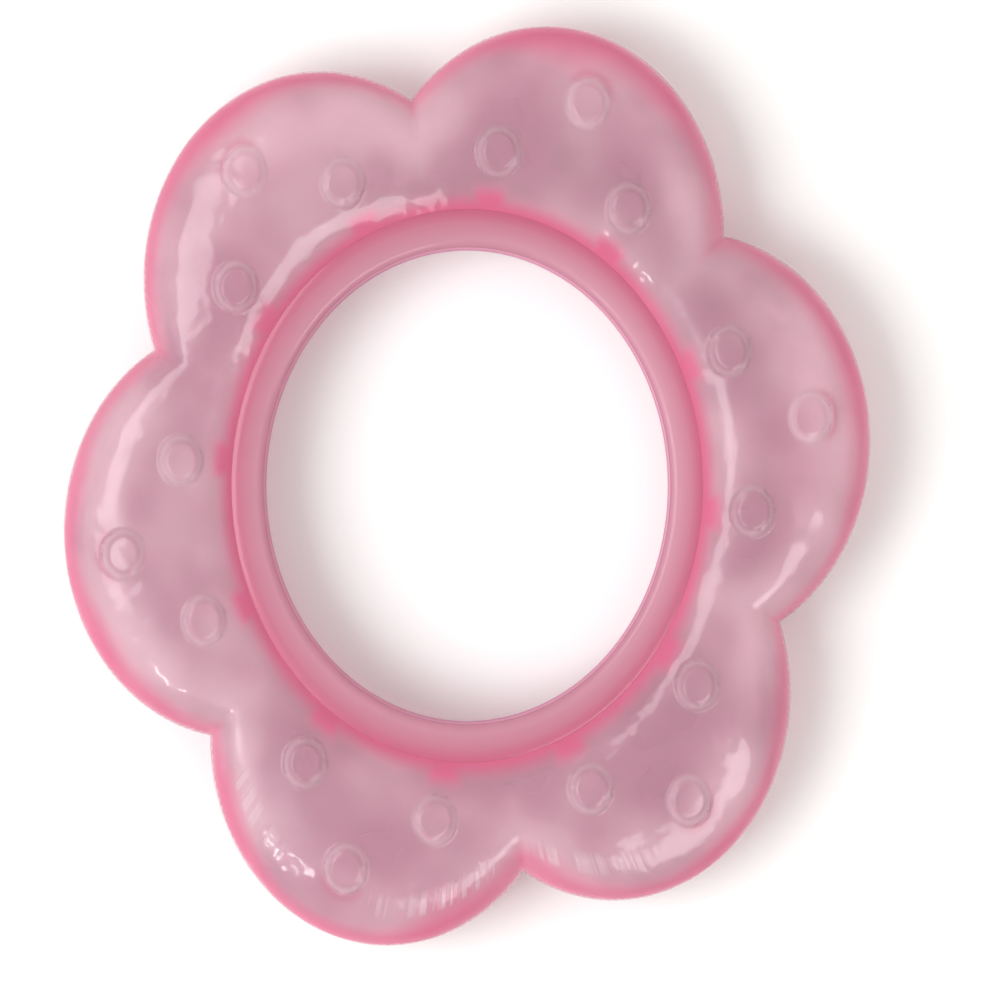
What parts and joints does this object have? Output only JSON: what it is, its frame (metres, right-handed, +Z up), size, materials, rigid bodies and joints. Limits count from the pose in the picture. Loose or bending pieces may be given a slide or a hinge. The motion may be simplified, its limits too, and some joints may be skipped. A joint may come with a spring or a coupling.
{
  "type": "teething ring",
  "caption": "Flat oval flower-shaped water-filled teething ring: soft translucent petals with raised buttons round a smooth-lined finger hole.",
  "frame": {"origin": "centre of the finger hole, on the plane of the back buttons that the ring lies on", "axes": "+Z up through the finger hole towards the front, +X along the oval's length, +Y across it"},
  "size_m": [0.0962, 0.0846, 0.013],
  "materials": {
    "front_shell": "frosted gloss, soft EVA, pink, translucent",
    "back_shell": "frosted gloss, soft EVA, pink, translucent",
    "inner_ring": "smooth gloss, soft EVA, deeper pink",
    "water_fill": "clear water",
    "fill_plug": "satin EVA, saturated pink"
  },
  "bodies": {
    "root": {"front_shell": "front_shell", "back_shell": "back_shell", "inner_ring": "inner_ring", "water_fill": "water_fill", "fill_plug": "fill_plug"}
  },
  "joints": []
}
